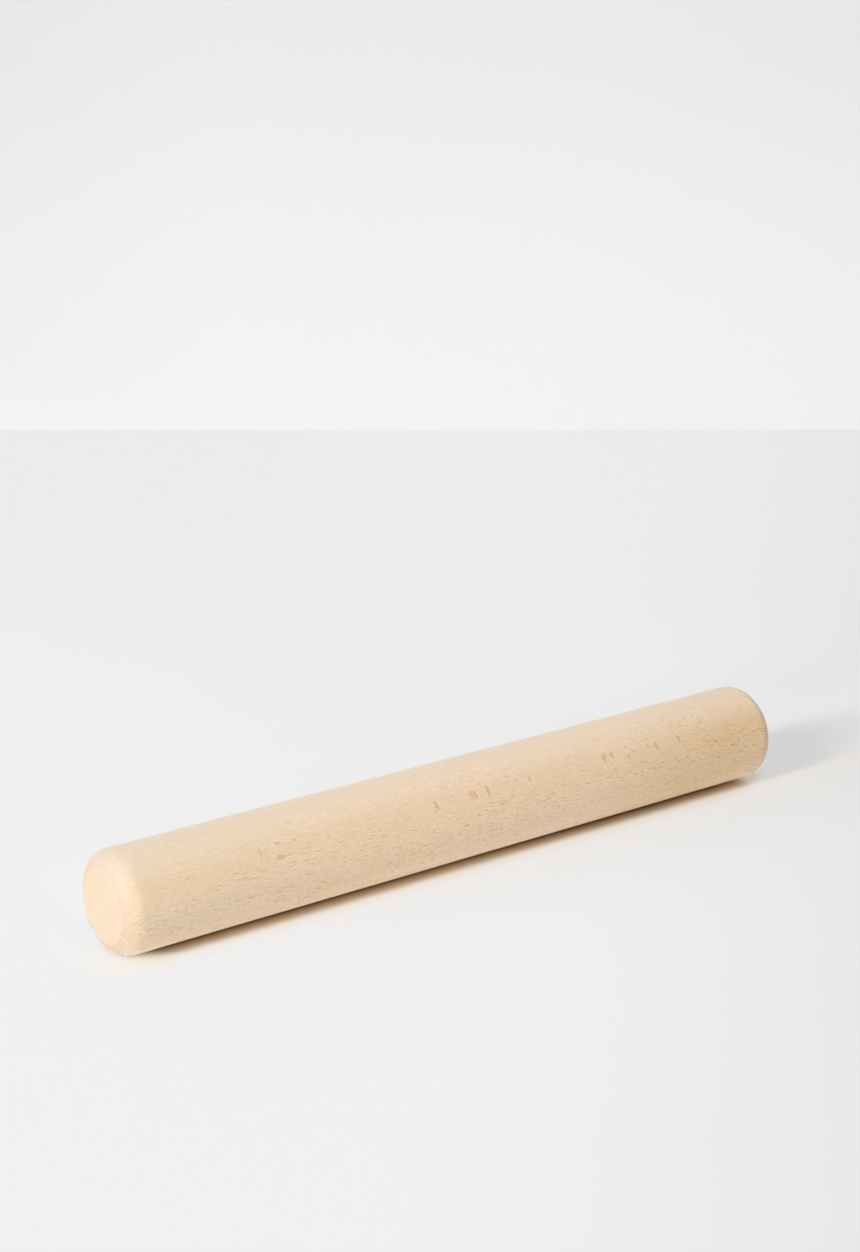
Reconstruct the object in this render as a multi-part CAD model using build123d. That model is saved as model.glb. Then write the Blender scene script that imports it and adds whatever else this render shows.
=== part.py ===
from build123d import *
import os

# A straight French rolling pin: one stick of beech, turned on a lathe and sanded.
# It has no handles, axle or bearings, so the stick itself is rolled under the palms.
# Frame, in millimetres: the pin lies on the worktop along X, +Z is up, and the
# origin is on the worktop under the middle of the pin.

# Driving sizes
pin_length = 390.0  # over both end faces
pin_diameter = 50.0  # the barrel, the same from end to end
end_rounding = 9.0  # radius of the turned edge between barrel and end face


def turned_profile(length, diameter, rounding):
    """Half the pin's outline, above its centre line: a flat end face, a quarter round,
    the straight barrel, and the same again at the other end."""
    radius = diameter / 2
    half_length = length / 2
    face_radius = radius - rounding
    half_barrel = half_length - rounding

    left_face = Line((-half_length, 0), (-half_length, face_radius))
    left_edge = RadiusArc(left_face @ 1, (-half_barrel, radius), rounding)
    barrel = Line(left_edge @ 1, (half_barrel, radius))
    right_edge = RadiusArc(barrel @ 1, (half_length, face_radius), rounding)
    right_face = Line(right_edge @ 1, (half_length, 0))
    centre_line = Line(right_face @ 1, left_face @ 0)
    outline = left_face + left_edge + barrel + right_edge + right_face + centre_line
    return Plane.XZ * make_face(outline)


def turned_stick(length, diameter, rounding):
    """The outline turned once round the lathe's axis, then laid on the worktop."""
    stick = revolve(turned_profile(length, diameter, rounding), Axis.X)
    return Pos(Z=diameter / 2) * stick


rolling_pin = turned_stick(pin_length, pin_diameter, end_rounding)

os.makedirs("parts", exist_ok=True)
export_step(rolling_pin, "parts/rolling_pin.step")
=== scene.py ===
from math import cos, pi, radians, sin

import bpy
import numpy as np
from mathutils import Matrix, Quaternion, Vector


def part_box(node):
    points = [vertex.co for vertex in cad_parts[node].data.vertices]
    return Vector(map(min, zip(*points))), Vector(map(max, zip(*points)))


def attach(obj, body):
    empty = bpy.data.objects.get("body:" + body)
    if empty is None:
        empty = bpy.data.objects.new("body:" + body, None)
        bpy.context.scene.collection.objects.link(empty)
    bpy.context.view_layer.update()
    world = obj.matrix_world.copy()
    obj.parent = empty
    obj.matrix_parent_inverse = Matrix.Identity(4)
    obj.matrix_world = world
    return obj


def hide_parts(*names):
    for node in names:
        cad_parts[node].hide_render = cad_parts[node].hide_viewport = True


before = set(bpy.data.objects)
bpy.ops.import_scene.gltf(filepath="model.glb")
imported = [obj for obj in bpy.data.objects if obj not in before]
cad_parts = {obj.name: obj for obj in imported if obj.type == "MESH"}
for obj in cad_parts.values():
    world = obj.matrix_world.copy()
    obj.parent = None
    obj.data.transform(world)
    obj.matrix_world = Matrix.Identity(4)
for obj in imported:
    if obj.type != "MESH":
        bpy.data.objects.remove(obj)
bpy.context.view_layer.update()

# The turned stick: one billet of beech, rounded between lathe centres to a straight barrel, with
# flat ends and softly rounded edges, then sanded along the grain. It is replaced by a finer skin of
# the same form, which carries the faint waves that sanding leaves.
stick_low, stick_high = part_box("rolling_pin")
half_length = (stick_high.x - stick_low.x) / 2
barrel_radius = (stick_high.z - stick_low.z) / 2
axis_height = stick_low.z + barrel_radius
edge_radius = 0.009
sanding_depth = 0.00004
slow_wave, quick_wave = 23, 61  # radians in each metre of the stick
steps_round = 256
steps_face, steps_edge, steps_barrel = 14, 18, 120


def stick_profile():
    """Half the outline as points (x, r). The face is the line x = -half_length out to
    barrel_radius - edge_radius. The edge is a quarter circle: x = corner_x - edge * cos(t),
    r = corner_r + edge * sin(t), t from 0 to 90 degrees. The barrel is r = barrel_radius.
    The other half is its mirror image in x."""
    corner_x, corner_r = half_length - edge_radius, barrel_radius - edge_radius
    t = np.linspace(0, pi / 2, steps_edge + 1)
    face_r = np.linspace(0, corner_r, steps_face + 1)[1:-1]
    edge_x, edge_r = corner_x + edge_radius * np.cos(t), corner_r + edge_radius * np.sin(t)
    barrel_x = np.linspace(-corner_x, corner_x, steps_barrel + 1)[1:-1]
    x = np.concatenate([np.full(len(face_r), -half_length), -edge_x, barrel_x, edge_x[::-1],
                        np.full(len(face_r), half_length)])
    r = np.concatenate([face_r, edge_r, np.full(len(barrel_x), barrel_radius), edge_r[::-1],
                        face_r[::-1]])
    return x, r


def skin_map(x, r):
    """The skin laid flat: one (u, v) for each corner, face by face. The barrel with its edges is a
    rectangle, u = the way along the outline and v = the turn. Each end face is a disc above it,
    its middle + size * (cos(turn), sin(turn)), mirrored at the left end."""
    margin, barrel_top, disc_height, disc_step, disc_size = 0.005, 0.835, 0.92, 0.08, 0.07
    first, last = steps_face - 1, len(x) - steps_face
    way = np.concatenate([[0], np.cumsum(np.hypot(np.diff(x), np.diff(r)))])

    def disc(end, radius, turn):
        size, angle = disc_size * radius / r[first], turn * 2 * pi / steps_round
        return np.stack([disc_step * (2 + end) + size * np.cos(angle),
                         disc_height + end * size * np.sin(angle)], -1)

    i, j = np.meshgrid(np.arange(len(x) - 1), np.arange(steps_round), indexing="ij")
    row, turn = np.stack([i, i, i + 1, i + 1], -1), np.stack([j, j + 1, j + 1, j], -1)
    end = (1 * (i >= last) - 1 * (i < first))[:, :, None]
    share_along, share_round = (way[row] - way[first]) / (way[last] - way[first]), turn / steps_round
    barrel = np.stack([margin + (1 - 2 * margin) * share_along,
                       barrel_top - (barrel_top - margin) * share_round], -1)
    flat_walls = np.where((end == 0)[..., None], barrel, disc(end, r[row], turn))
    j = np.arange(steps_round)
    left_pole = disc(-1, r[0] * np.array([0, 1, 1]), np.stack([j, j + 1, j], -1))
    right_pole = disc(1, r[0] * np.array([0, 1, 1]), np.stack([j, j, j + 1], -1))
    return np.concatenate([flat.reshape(-1, 2) for flat in (flat_walls, left_pole, right_pole)])


def turned_skin(name):
    """The profile carried once round the stick's axis: point (i, j) is
    (x_i, r * cos(a_j), axis_height + r * sin(a_j)), where r is r_i less a shallow wave in x and a,
    so that the skin never stands outside the stick. One pole at each end closes it."""
    x, r = stick_profile()
    a = np.arange(steps_round) * 2 * pi / steps_round
    ring_x = np.broadcast_to(x[:, None], (len(x), steps_round))
    wave = 1 + np.sin(slow_wave * ring_x + 2 * a) * np.sin(quick_wave * ring_x - 3 * a + 1)
    ring_r = r[:, None] - sanding_depth * (r / barrel_radius)[:, None] ** 2 * wave / 2
    rings = np.stack([ring_x, ring_r * np.cos(a), axis_height + ring_r * np.sin(a)], -1)
    poles = [[-half_length, 0, axis_height], [half_length, 0, axis_height]]
    points = np.concatenate([rings.reshape(-1, 3), poles])
    rows = len(x)
    i, j = np.meshgrid(np.arange(rows - 1), np.arange(steps_round), indexing="ij")
    k = (j + 1) % steps_round
    here, there = i * steps_round, (i + 1) * steps_round
    walls = np.stack([here + j, here + k, there + k, there + j], -1).reshape(-1, 4)
    j = np.arange(steps_round)
    k = (j + 1) % steps_round
    left, right, last = rows * steps_round, rows * steps_round + 1, (rows - 1) * steps_round
    ends = np.concatenate([np.stack([np.full_like(j, left), k, j], -1),
                           np.stack([np.full_like(j, right), last + j, last + k], -1)])
    mesh = bpy.data.meshes.new(name)
    mesh.from_pydata(points.tolist(), [], walls.tolist() + ends.tolist())
    mesh.uv_layers.new(name="OFBake").data.foreach_set("uv", skin_map(x, r).ravel())
    mesh.shade_smooth()
    piece = bpy.data.objects.new(name, mesh)
    bpy.context.scene.collection.objects.link(piece)
    return piece


stick = turned_skin("beech_stick")

# Sizes of the wood's figure, in millimetres. The tree's pith lay far from the stick, up and behind
# it. Rays are thin ribbons that run out from the pith, spindle-shaped where the surface cuts them.
# Each span says how long one kind of unevenness is, first along the stick and then across it.
pith_distance = 300.0
pith_bearing = radians(121)
ring_width, ring_bend = 1.85, 0.3
ray_length, ray_spacing = 7.6, 0.94
bend_span, sway_span, shift_span = (170, 45, 45), (40, 16, 16), (26, 11, 11)
season_span, strong_ring_span = (4000, 7, 4000), (70, 2.4, 25)
long_drift_span, short_drift_span, ray_drift_span = (60, 5, 5), (16, 5, 5), (3.0, 1.2, 1.2)
fibre_span, speck_span = (5, 0.4, 0.4), (2.2, 0.8, 0.8)
streak_span, patch_span = (70, 1.1, 1.6), (75, 24, 24)
ragged_span, jagged_span = (1.8, 1.2, 1.2), (1.5, 1.7, 1.7)

# Two shades of the wood, and tints that multiply its colour, each in one kind of place.
pale_wood = (0.808, 0.620, 0.432)
tan_wood = (0.711, 0.511, 0.324)
ray_tint = (0.81, 0.72, 0.59)
lip_tint = (1.065, 1.09, 1.135)
brown_tint = (0.82, 0.69, 0.52)
orange_tint = (0.97, 0.80, 0.62)
ring_tint = (0.94, 0.91, 0.88)
face_tint = (0.91, 0.955, 0.995)
edge_tint = (0.84, 0.86, 0.91)
# Painted sheen: the tops of the rounded edges and of the barrel paler and bluer.
edge_sheen_tint = (1.0, 1.06, 1.20)
top_sheen_tint = (1.065, 1.105, 1.18)
# Painted bounce light from the worktop: the barrel's underside paler, its lower rim most.
under_bounce_tint = (1.19, 1.19, 1.17)
rim_bounce_tint = (1.24, 1.29, 1.39)
warm_tint = (0.91, 0.865, 0.74)
left_tint = (0.965, 0.99, 1.0)

# Where a tint or a strength comes in, in millimetres up from the stick's axis or along it from its
# middle: a rise goes from nothing at the first place to all at the second, a fall the other way.
upper_rise, top_sheen_rise, edge_sheen_rise = (4, 17), (14, 25), (8, 23)
limb_rise, rim_bounce_fall, under_bounce_fall = (-21.5, -19.2), (-19.5, -15.5), (-20, 2)
end_rays_rise, left_rise, warm_rise = (100, 160), (60, 150), (60, 165)

# The broad flecks where the surface runs along the rays, each one listed: its place along
# the stick and round it, half its length and half its height, how far it leans, and how strongly
# it is brown and orange.
flecks = [(-124, 36, 1.0, 3.4, 0.0, 0.45, 0.0), (-114, 42, 2.6, 0.9, 0.1, 0.75, 0.0),
          (-114, 27, 3.4, 1.4, 0.1, 0.8, 0.0), (-105, 41, 1.6, 0.7, 0.0, 0.5, 0.0),
          (-27, 29, 1.2, 0.9, 0.0, 0.2, 0.5), (-25, 36, 1.6, 3.2, 0.1, 0.75, 0.2),
          (-3, 37, 2.6, 3.4, 0.2, 0.1, 0.75), (-1.2, 36, 1.0, 2.8, 0.1, 0.6, 0.0),
          (6, 37, 1.3, 3.8, 0.1, 0.8, 0.1), (3, 48, 1.8, 0.6, 0.2, 0.55, 0.0),
          (10, 46, 1.8, 0.6, 0.1, 0.5, 0.0), (24, 37, 0.8, 2.6, 0.5, 0.3, 0.0),
          (32, 37, 1.7, 2.0, 0.0, 0.1, 0.8), (80, 38, 1.8, 3.2, -0.2, 0.6, 0.3),
          (85, 39, 1.3, 2.6, 0.1, 0.65, 0.2), (95, 43, 1.6, 0.9, -0.4, 0.6, 0.2),
          (95, 32, 1.4, 0.9, 0.4, 0.55, 0.2), (99, 37, 0.9, 2.4, 0.4, 0.55, 0.0),
          (109, 38, 0.7, 2.6, 0.0, 0.6, 0.2), (114, 35.5, 1.5, 2.8, 0.2, 0.3, 1.0),
          (111, 46, 1.9, 0.7, -0.2, 0.5, 0.2), (129.5, 37, 0.9, 3.0, 0.1, 0.8, 0.3),
          (148, 49, 3.2, 0.6, -0.3, 0.8, 0.0), (146.5, 25, 3.4, 0.5, 0.35, 0.7, 0.1),
          (153, 22.5, 1.8, 0.8, 0.1, 0.9, 0.0), (108, 11, 4.0, 0.5, 0.2, 0.7, 0.0),
          (136, 6, 3.2, 0.5, 0.15, 0.7, 0.0), (55, 22, 0.9, 0.7, 0.0, 0.6, 0.0)]


class Reading:
    """A value that changes over a surface: one output socket. Sums, differences, products,
    quotients and powers add the Math nodes they stand for, or Vector Math nodes on vectors."""

    def __init__(self, socket):
        self.socket = socket

    def node(self, kind, settings, sockets, output=0):
        """Adds any other node: its settings first, then a value or a link for each socket."""
        tree = self.socket.id_data
        added = tree.nodes.new(kind)
        for name, value in settings.items():
            setattr(added, name, value)
        for name, value in sockets.items():
            if isinstance(value, Reading):
                tree.links.new(value.socket, added.inputs[name])
            else:
                added.inputs[name].default_value = value
        return Reading(added.outputs[output])

    def combine(self, operation, first, second):
        """One Math or Vector Math node on two values."""
        kind = "ShaderNodeVectorMath" if self.socket.type == "VECTOR" else "ShaderNodeMath"
        return self.node(kind, {"operation": operation}, {0: first, 1: second})

    def __add__(self, other):
        return self.combine("ADD", self, other)

    def __radd__(self, other):
        return self.combine("ADD", other, self)

    def __sub__(self, other):
        return self.combine("SUBTRACT", self, other)

    def __rsub__(self, other):
        return self.combine("SUBTRACT", other, self)

    def __mul__(self, other):
        return self.combine("MULTIPLY", self, other)

    def __rmul__(self, other):
        return self.combine("MULTIPLY", other, self)

    def __truediv__(self, other):
        return self.combine("DIVIDE", self, other)

    def __rtruediv__(self, other):
        return self.combine("DIVIDE", other, self)

    def __pow__(self, other):
        return self.combine("POWER", self, other)

    def __abs__(self):
        return self.node("ShaderNodeMath", {"operation": "ABSOLUTE"}, {0: self})

    def fraction(self):
        """What is left above the whole number."""
        return self.node("ShaderNodeMath", {"operation": "FRACT"}, {0: self})

    def dot(self, direction):
        """How far this vector reaches in a direction."""
        settings = {"operation": "DOT_PRODUCT"}
        return self.node("ShaderNodeVectorMath", settings, {0: self, 1: direction}, output="Value")

    def rise(self, low, high):
        """0 below low, 1 above high, and an S-shaped rise between them."""
        settings = {"interpolation_type": "SMOOTHSTEP"}
        sockets = {"Value": self, "From Min": low, "From Max": high}
        return self.node("ShaderNodeMapRange", settings, sockets)

    def fall(self, low, high):
        """1 below low, 0 above high: the opposite of a rise."""
        return 1 - self.rise(low, high)

    def cloud(self, spans, detail=2.0, roughness=0.5):
        """Soft noise from about -0.5 to 0.5, as long as spans along the three axes."""
        settings = {"noise_dimensions": "3D"}
        place = self * tuple(1 / span for span in spans)
        noise = self.node("ShaderNodeTexNoise", settings,
                          {"Vector": place, "Scale": 1.0, "Detail": detail, "Roughness": roughness})
        return noise - 0.5

    def tinted(self, tint, share):
        """This colour, multiplied by tint where share is 1."""
        settings = {"data_type": "RGBA", "blend_type": "MULTIPLY", "clamp_factor": True}
        return self.node("ShaderNodeMix", settings, {0: share, 6: self, 7: (*tint, 1)}, output=2)


def rays_at(along, across, length, spacing, spread):
    """Ray ends: one spindle in each cell of a jittered lattice, length by spacing millimetres.
    Its half-width shrinks with the square of the way to its tips, and chance gives each its tilt,
    length and width. Returns the spindles and the paler lips round them, both times each ray's
    own strength, which spread makes uneven."""
    place = along.node("ShaderNodeCombineXYZ", {}, {0: along / length, 1: across / spacing})
    settings = {"voronoi_dimensions": "2D", "feature": "F1"}
    sockets = {"Vector": place, "Scale": 1.0, "Randomness": 0.9}
    seed = place.node("ShaderNodeTexVoronoi", settings, sockets, output="Position")
    chance = place.node("ShaderNodeTexVoronoi", settings, sockets, output="Color")
    red = chance.node("ShaderNodeSeparateColor", {}, {0: chance})
    green = chance.node("ShaderNodeSeparateColor", {}, {0: chance}, output=1)
    blue = chance.node("ShaderNodeSeparateColor", {}, {0: chance}, output=2)
    off = (place - seed) * (length, spacing, 0.0)
    off_along, off_across = off.dot((1, 0, 0)), off.dot((0, 1, 0))
    tilt = (green - 0.5) * 0.3
    half_long = (0.18 + 0.4 * red) * length
    half_wide = (0.20 + 0.22 * blue) * spacing
    reach = off_along / half_long
    width = abs(off_across + tilt * off_along) / half_wide
    mask = (1 - reach * reach - width).rise(0.0, 0.5)
    lip = (1.4 - reach * reach - width / 2.0).rise(0.0, 0.8) - mask
    strength = 1 - spread + spread * blue * blue
    return mask * strength, lip * strength


def broad_flecks(along, arc):
    """The sums of the chosen flecks, brown and orange, and of the pale halos round them: each fleck
    is 1 - (u / long)^2 - (v / high)^2, where u and v are the ways along and round the stick from
    its middle, and u leans with v."""
    browns, oranges, halos = 0.0, 0.0, 0.0
    for middle, bearing, long, high, lean, brown, orange in flecks:
        v = arc - (pi / 2 - radians(bearing)) * barrel_radius * 1000
        u = along - middle
        v = v - lean * u if long > high else v
        u = u - lean * v if long <= high else u
        inside = 1 - (u / long) ** 2 - (v / high) ** 2
        fleck = inside.rise(-0.2, 0.9)
        halos = halos + (inside.rise(-1.6, -0.1) - fleck) * (0.6 * max(brown, orange))
        browns = browns + fleck * brown if brown else browns
        oranges = oranges + fleck * orange if orange else oranges
    return browns, oranges, halos


def sanded_beech():
    """Beech, sanded and not varnished: pale tan with rings, rays and fibre streaks."""
    material = bpy.data.materials.new("sanded_beech")
    material.use_nodes = True
    tree = material.node_tree
    shader = tree.nodes["Principled BSDF"]
    metres = Reading(tree.nodes.new("ShaderNodeTexCoord").outputs["Object"])
    place = (metres - (0, 0, axis_height)) * (1000, 1000, 1000)
    x, y, z = place.dot((1, 0, 0)), place.dot((0, 1, 0)), place.dot((0, 0, 1))

    # The rings lie about the pith, which is never quite straight: radial counts outwards through
    # them, around goes along them, and grown holds both with the way along the stick.
    bend = place.cloud(bend_span) * 3.0
    sway = place.cloud(sway_span) * 2.4
    shift = place.cloud(shift_span) * 2.0
    pith_way = (0, -cos(pith_bearing), sin(pith_bearing))
    side_way = (0, sin(pith_bearing), cos(pith_bearing))
    outward = pith_distance - place.dot(pith_way)
    side = place.dot(side_way)
    around = side / outward * pith_distance
    low_bend = side * (outward - pith_distance).rise(-2, 16) * ring_bend
    radial = outward + side * side / (2 * pith_distance) + bend - low_bend
    along = x + shift
    grown = place.node("ShaderNodeCombineXYZ", {}, {0: along, 1: radial, 2: around})
    season = radial / ring_width + grown.cloud(season_span) * 1.6
    phase = season.fraction()
    late = phase.rise(0.35, 0.92) * phase.fall(0.92, 1.0)
    strong_ring = grown.cloud(strong_ring_span) * 1.6 + 0.8

    # Where on the stick: on its rounded edges, on its end faces, or on the barrel, and how high.
    half_mm, barrel_mm, edge_mm = half_length * 1000, barrel_radius * 1000, edge_radius * 1000
    end = (abs(x) - (half_mm - edge_mm)).rise(0, edge_mm)
    face = (abs(x) - half_mm).rise(-0.5, -0.02)
    on_edge, on_barrel = end * (1 - face), 1 - end
    turn = z.node("ShaderNodeMath", {"operation": "ARCTAN2"}, {0: -1 * y, 1: z})
    arc = turn * barrel_mm
    upper = z.rise(*upper_rise)

    # Rays show best on the front, more of them to the right, and here and there in drifts.
    shown = (1 - 0.5 * upper) * (1 - 0.8 * end)
    shown = shown * (1 + 0.4 * x.rise(*end_rays_rise) - 0.2 * (-1 * x).rise(*end_rays_rise))
    shown = shown * (1.15 + place.cloud(long_drift_span) * 2.2 + place.cloud(short_drift_span) * 1.6)
    drift = arc + sway * 0.5 + place.cloud(ray_drift_span, roughness=0.6) * 0.8
    rays, lips = rays_at(along, drift, ray_length, ray_spacing, spread=0.75)
    rays, lips = rays * shown, lips * shown
    fine_rays, fine_lips = rays_at(along + 40, drift + 9, ray_length / 1.7, ray_spacing / 1.5,
                                   spread=0.6)
    fine_rays, fine_lips = fine_rays * shown, fine_lips * shown

    # Fibres and streaks follow the grain. Specks and patches don't.
    fibres = grown.cloud(fibre_span, detail=3.0, roughness=0.6)
    specks = place.cloud(speck_span, roughness=0.6)
    streaks = grown.cloud(streak_span)
    patches = place.cloud(patch_span)
    ragged = place.cloud(ragged_span, detail=3.0, roughness=0.65) * 2.8
    jagged = place.cloud(jagged_span, detail=3.0, roughness=0.65) * 2.8
    browns, oranges, halos = broad_flecks(x + ragged, arc + jagged)

    # The colour: tan and pale by tone, then darker or paler by the figure and by the place.
    ring_share = 0.3 + on_edge * (1.3 - 0.8 * z.rise(6, 20)) - 0.15 * face
    tone = 0.42 + streaks * 0.35 + patches * 0.45 + fibres * 1.2 + specks * (1.6 - 0.9 * upper)
    colour = tone.node("ShaderNodeMix", {"data_type": "RGBA", "clamp_factor": True},
                       {0: tone, 6: (*pale_wood, 1), 7: (*tan_wood, 1)}, output=2)
    colour = colour.tinted(ring_tint, late * strong_ring * ring_share)
    colour = colour.tinted(ray_tint, rays)
    colour = colour.tinted(ray_tint, fine_rays * 0.6)
    colour = colour.tinted(lip_tint, (lips + fine_lips * 0.6) * 1.2 + halos)
    colour = colour.tinted(brown_tint, browns)
    colour = colour.tinted(orange_tint, oranges)
    colour = colour.tinted(edge_tint, on_edge)
    colour = colour.tinted(face_tint, face)
    # Painted sheen along the tops of the rounded edges and of the barrel.
    colour = colour.tinted(edge_sheen_tint, on_edge * z.rise(*edge_sheen_rise))
    colour = colour.tinted(top_sheen_tint, on_barrel * z.rise(*top_sheen_rise))
    # Painted bounce light from the worktop on the barrel's underside, most on its lower rim and
    # fading out at the very bottom.
    lower = on_barrel * z.rise(*limb_rise)
    colour = colour.tinted(under_bounce_tint, lower * z.fall(*under_bounce_fall))
    colour = colour.tinted(rim_bounce_tint, lower * z.fall(*rim_bounce_fall))
    colour = colour.tinted(left_tint, on_barrel * (-1 * x).rise(*left_rise))

    # The right part is warmer, but less so along its top, at its end and in its lower corner.
    warm = (x - 1.2 * z).rise(*warm_rise)
    warm = warm * (1 - 0.7 * z.rise(10, 24)) * (1 - 0.3 * x.rise(163, 176))
    warm = warm * (1 - 0.5 * x.rise(140, 160) * z.fall(-15, -5))
    colour = colour.tinted(warm_tint, warm * (0.95 + patches))
    tree.links.new(colour.socket, shader.inputs["Base Color"])

    roughness = 0.5 + fibres * 0.12 + 0.1 * end - rays * 0.06
    tree.links.new(roughness.socket, shader.inputs["Roughness"])
    height = fibres * 0.6 - rays * 0.15 - late * 0.15
    sockets = {"Height": height, "Strength": 0.25, "Distance": 0.00015}
    bump = height.node("ShaderNodeBump", {}, sockets)
    tree.links.new(bump.socket, shader.inputs["Normal"])
    shader.inputs["Sheen Weight"].default_value = 0.25
    shader.inputs["Sheen Roughness"].default_value = 0.5
    return material


stick.data.materials.append(sanded_beech())
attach(stick, "root")
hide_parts("rolling_pin")

# The camera stands in front of the left end and looks down on the pin. Its place and lens were
# worked out from the pin's outline: the lens is given in pixels of the 860 x 1252 picture.
picture_width, picture_height = 860, 1252
lens_pixels = 2250
camera_place = Vector((-0.6115, -0.8331, 0.4523))
camera_turn = radians(35.629)
camera_dip = radians(17.815)
look = Vector((sin(camera_turn) * cos(camera_dip), cos(camera_turn) * cos(camera_dip),
               -sin(camera_dip)))
camera_stance = look.to_track_quat("-Z", "Y")
camera = bpy.data.objects.new("camera", bpy.data.cameras.new("camera"))
bpy.context.scene.collection.objects.link(camera)
camera.data.lens = camera.data.sensor_width * lens_pixels / picture_height
camera.location = camera_place
camera.rotation_euler = camera_stance.to_euler()
bpy.context.scene.camera = camera

# The white worktop and the white wall behind it. The wall stands where its foot makes the level
# line that the photograph shows, this far down the picture.
wall_line = 429.7
stage_size = 6.0
board_white = (0.88, 0.88, 0.88)
worktop_level, wall_level = 0.872, 0.90  # the even white that the camera sees on each
worktop_even, wall_even = 0.95, 0.85  # and its share off the pin's shadow
# Painted light and shade on the worktop: warm shade and bounce light from the pin, its contact shadow
# and the shade in the gap under it.
warm_shade_colour = (0.88, 0.66, 0.42)
contact_shadow_tint = (0.26, 0.22, 0.17)
near_bounce_tint = (0.975, 0.905, 0.785)
shade_tint = (1.04, 0.62, 0.27)
end_bounce_tint = (1.08, 1.0, 0.92)
gap_shade_tint = (0.07, 0.03, 0.01)
warm_bounce_white = (1.0, 0.975, 0.945)


def worktop_place(column, row):
    """The place on the worktop seen at this column and row of the picture: the camera's place
    plus the pixel's direction, carried on until its height is 0."""
    way = camera_stance @ Vector((column - picture_width / 2, picture_height / 2 - row, -lens_pixels))
    return camera_place - way * (camera_place.z / way.z)


wall_left, wall_right = worktop_place(0, wall_line), worktop_place(picture_width, wall_line)
wall_foot = (wall_left + wall_right) / 2
aside = (wall_right - wall_left).normalized()
onward = Vector((-aside.y, aside.x, 0))


def flat_sheet(name, middle, across, along):
    """A flat sheet: middle +/- across +/- along."""
    corners = [middle - across - along, middle + across - along, middle + across + along,
               middle - across + along]
    mesh = bpy.data.meshes.new(name)
    mesh.from_pydata([tuple(c) for c in corners], [], [(0, 1, 2, 3)])
    sheet = bpy.data.objects.new(name, mesh)
    bpy.context.scene.collection.objects.link(sheet)
    return sheet


def white_board(name, roughness, glow_colour, glow_share, board_colour=None):
    """Painted board, seen from its front only. Away from the pin the camera sees an even white in
    place of most of its shading. Functions of the place in metres give that white and its share,
    and the board's colour, painted shade included, where it isn't the same all over."""
    material = bpy.data.materials.new(name)
    material.use_nodes = True
    tree = material.node_tree
    shader = tree.nodes["Principled BSDF"]
    shader.inputs["Base Color"].default_value = (*board_white, 1)
    shader.inputs["Roughness"].default_value = roughness
    place = Reading(tree.nodes.new("ShaderNodeTexCoord").outputs["Object"])
    path = tree.nodes.new("ShaderNodeLightPath")
    in_camera = Reading(path.outputs["Is Camera Ray"])
    if board_colour:
        tree.links.new(board_colour(place, in_camera).socket, shader.inputs["Base Color"])
    seen = in_camera + Reading(path.outputs["Is Glossy Ray"])
    seen = (seen + Reading(path.outputs["Is Transmission Ray"])).rise(0, 1)
    rear = Reading(tree.nodes.new("ShaderNodeNewGeometry").outputs["Backfacing"])
    glow = place.node("ShaderNodeEmission", {}, {"Color": glow_colour(place)})
    clear = place.node("ShaderNodeBsdfTransparent", {}, {})
    lit = place.node("ShaderNodeMixShader", {},
                     {0: seen * glow_share(place), 1: Reading(shader.outputs[0]), 2: glow})
    board = place.node("ShaderNodeMixShader", {}, {0: rear, 1: lit, 2: clear})
    tree.links.new(board.socket, tree.nodes["Material Output"].inputs["Surface"])
    return material


def worktop_colour(place, in_camera):
    """The board's white, with painted warm shade close along the pin that stands for light bounced
    from it. For the camera, a painted contact shadow: the dark line in which the pin's edge meets the
    board. For other light, painted shade in the narrow gap under the pin, from which hardly any light
    comes back."""
    x, y = place.dot((1, 0, 0)), place.dot((0, 1, 0))
    sideways, past_end = abs(y), abs(x) - half_length
    # Painted warm shade close along the pin, standing for light bounced from it.
    warm_shade = sideways.fall(0.007, 0.020) * past_end.fall(-0.015, -0.003)
    # Painted contact shadow, seen by the camera only, along the line where the pin meets the board.
    contact_shadow = (sideways - 0.0011 * x.rise(0.0, 0.1)).fall(0.0048, 0.0132) ** 2
    contact_shadow = contact_shadow * past_end.fall(-0.033, -0.009)
    # Painted shade in the gap under the pin, for all light but the camera's.
    gap = sideways.fall(0.011, 0.0185) * past_end.fall(-0.030, -0.005)
    colour = place.node("ShaderNodeMix", {"data_type": "RGBA"},
                        {0: warm_shade, 6: (*board_white, 1), 7: (*warm_shade_colour, 1)}, output=2)
    colour = colour.tinted(contact_shadow_tint, contact_shadow * in_camera)
    return colour.tinted(gap_shade_tint, gap * (1 - in_camera))


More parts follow.
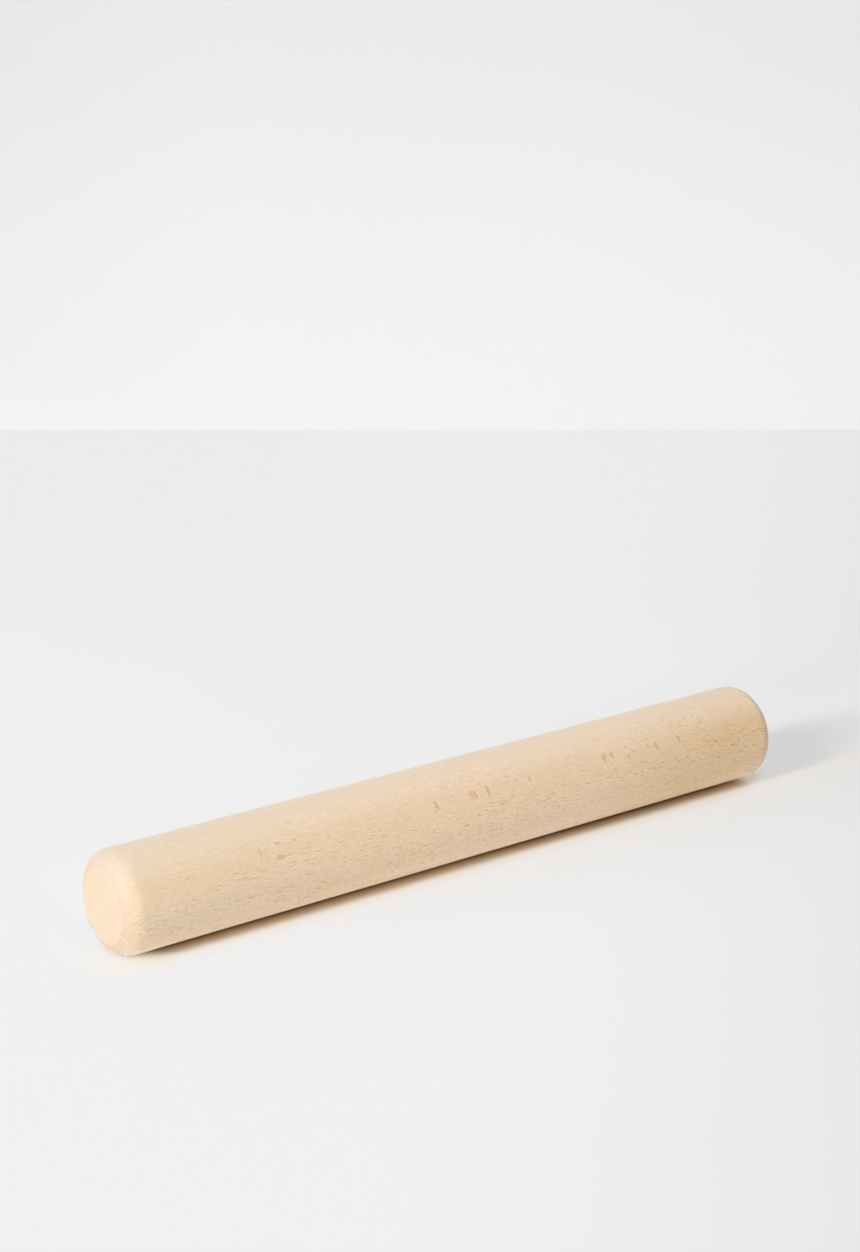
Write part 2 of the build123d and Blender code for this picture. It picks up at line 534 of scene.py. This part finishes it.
def worktop_glow(place):
    """The even white of the worktop, duller towards the right of the picture, in its far corners and
    in front of the pin's right half. Painted warm bounce light from the pin lies close in front of
    it, more in front of its right half and a little at its left end; painted warm shade lies under
    its edge."""
    x, y = place.dot((1, 0, 0)), place.dot((0, 1, 0))
    before, past_left, past_right = -1 * y, -1 * x - half_length, x - half_length
    far, out = place.dot(tuple(onward)), place.dot(tuple(aside))
    duller = (out - 0.18 * far).rise(0.02, 0.30) * (1 - 0.4 * far.rise(0.1, 0.6))
    corners = far.rise(0.25, 0.5) * abs(out).rise(0.03, 0.15)
    white = worktop_level - 0.09 * duller - 0.012 * corners
    white = white - 0.02 * x.rise(-0.15, 0.12) * before.fall(0.03, 0.16)
    colour = place.node("ShaderNodeCombineXYZ", {}, {0: white, 1: white, 2: white})
    # Painted warm bounce light from the pin, in front of it and by its left end, and painted warm
    # shade under its edge.
    in_front = before.rise(0.0, 0.004)
    right_part = x.rise(-0.2, 0.05) * before.fall(0.025, 0.09) * in_front
    beside = before.fall(0.010, 0.030) * in_front * past_left.fall(-0.019, -0.003)
    by_end = past_left.rise(-0.035, -0.007) * past_left.fall(-0.005, 0.019)
    by_end = by_end * before.fall(0.0, 0.040) * y.fall(-0.010, 0.020)
    shade = before.fall(0.009, 0.019) * in_front
    shade = shade * past_left.fall(-0.037, -0.017) * past_right.fall(-0.019, -0.005)
    colour = colour.tinted(warm_bounce_white, right_part).tinted(near_bounce_tint, beside)
    return colour.tinted(end_bounce_tint, by_end).tinted(shade_tint, shade)


def worktop_share(place):
    """0 on the pin's shadow, which falls to the right and close along the front, and worktop_even
    off it. Over parts of that shadow the even white is painted light: it thins the shadow along the
    front at the left end, where the light comes in under the edge, lightens it past the left end and
    at the right end, and paints a little bounce light from the pin into it."""
    x, y = place.dot((1, 0, 0)), place.dot((0, 1, 0))
    before, past_left, past_right = -1 * y, -1 * x - half_length, x - half_length
    front = (before - 0.0025 * x.rise(0.0, 0.1)).rise(0.0056, 0.030)
    back = (y + 0.05 * past_left.rise(-0.035, -0.005)).rise(0.06, 0.16)
    # Painted light: the even white laid over the shadow past the left end and along the front by it.
    left = (past_left + 0.008 * y.rise(0.005, 0.025)).rise(-0.009, 0.001)
    wedge = (past_left - 1.2 * y).rise(-0.015, 0.006) * before.fall(0.03, 0.05)
    right = past_right.rise(0.225, 0.405)
    # Painted light: the even white laid over the shadow at the right end, and a little painted bounce
    # light from the pin along its front edge.
    edge = 0.35 * past_right.rise(-0.016, -0.004) * past_right.fall(-0.005, 0.011)
    bounce_fill = 0.1 * before.rise(0.0062, 0.0095) * (abs(x) - half_length).fall(-0.019, -0.005)
    shadow = 1 - front
    for light in (back, left, wedge, right, edge, bounce_fill):
        shadow = shadow * (1 - light)
    return worktop_even * (1 - shadow)


def wall_glow(place):
    """The even white of the wall, duller upwards and towards both sides."""
    z, out = place.dot((0, 0, 1)), place.dot(tuple(aside))
    white = wall_level - 0.09 * z.rise(0.0, 0.45) - 0.03 * out.rise(0.05, 0.5)
    white = white - 0.034 * (-1 * out).rise(0.17, 0.42) * z.rise(0.0, 0.06)
    white = white - 0.01 * z.rise(0.2, 0.34)
    return place.node("ShaderNodeCombineXYZ", {}, {0: white, 1: white, 2: white})


worktop = flat_sheet("worktop", Vector((0, 0, 0)), Vector((stage_size, 0, 0)),
                     Vector((0, stage_size, 0)))
worktop.data.materials.append(white_board("worktop_white", roughness=0.25, glow_colour=worktop_glow,
                                          glow_share=worktop_share, board_colour=worktop_colour))
wall = flat_sheet("wall", wall_foot + Vector((0, 0, stage_size / 2)), aside * stage_size,
                  Vector((0, 0, stage_size / 2)))
wall.data.materials.append(white_board("wall_white", roughness=0.9, glow_colour=wall_glow,
                                       glow_share=lambda place: wall_even))

# Soft light: a tall narrow strip low on the left that leans towards the front, a square panel high
# above the front, a long low one that lights the pin's underside, two faint ones at the far right
# and the far left, and an even pale surround.
surround_strength = 0.19
world = bpy.data.worlds.new("surround")
bpy.context.scene.world = world
world.use_nodes = True
world.node_tree.nodes["Background"].inputs["Color"].default_value = (1, 1, 1, 1)
world.node_tree.nodes["Background"].inputs["Strength"].default_value = surround_strength


def panel_light(name, turn, lift, distance, width, height, power, lean=0.0):
    """A soft panel aimed at the pin: turn goes from the left end towards the front, lift goes up
    from the worktop, and lean turns the panel in its own plane, all three in degrees."""
    turn, lift = radians(turn), radians(lift)
    way = Vector((-cos(turn) * cos(lift), -sin(turn) * cos(lift), sin(lift)))
    lamp = bpy.data.lights.new(name, "AREA")
    lamp.shape = "RECTANGLE"
    lamp.size, lamp.size_y, lamp.energy = width, height, power
    holder = bpy.data.objects.new(name, lamp)
    bpy.context.scene.collection.objects.link(holder)
    holder.location = way * distance
    leaned = Quaternion((0, 0, 1), radians(lean))
    holder.rotation_euler = (way.to_track_quat("Z", "Y") @ leaned).to_euler()
    holder.visible_camera = False


panel_light("left_strip", turn=9.5, lift=23, distance=2.4, width=0.29, height=1.15, power=43.0,
            lean=-25)
panel_light("front_panel", turn=75, lift=62, distance=2.0, width=0.6, height=0.6, power=11.5)
panel_light("low_front_panel", turn=75, lift=7, distance=2.0, width=1.2, height=0.25, power=9.0)
panel_light("right_panel", turn=172, lift=42, distance=1.5, width=0.9, height=0.9, power=1.0)
panel_light("far_left_panel", turn=-30, lift=30, distance=1.5, width=0.9, height=0.9, power=1.0)

bpy.context.scene.view_settings.view_transform = "Standard"
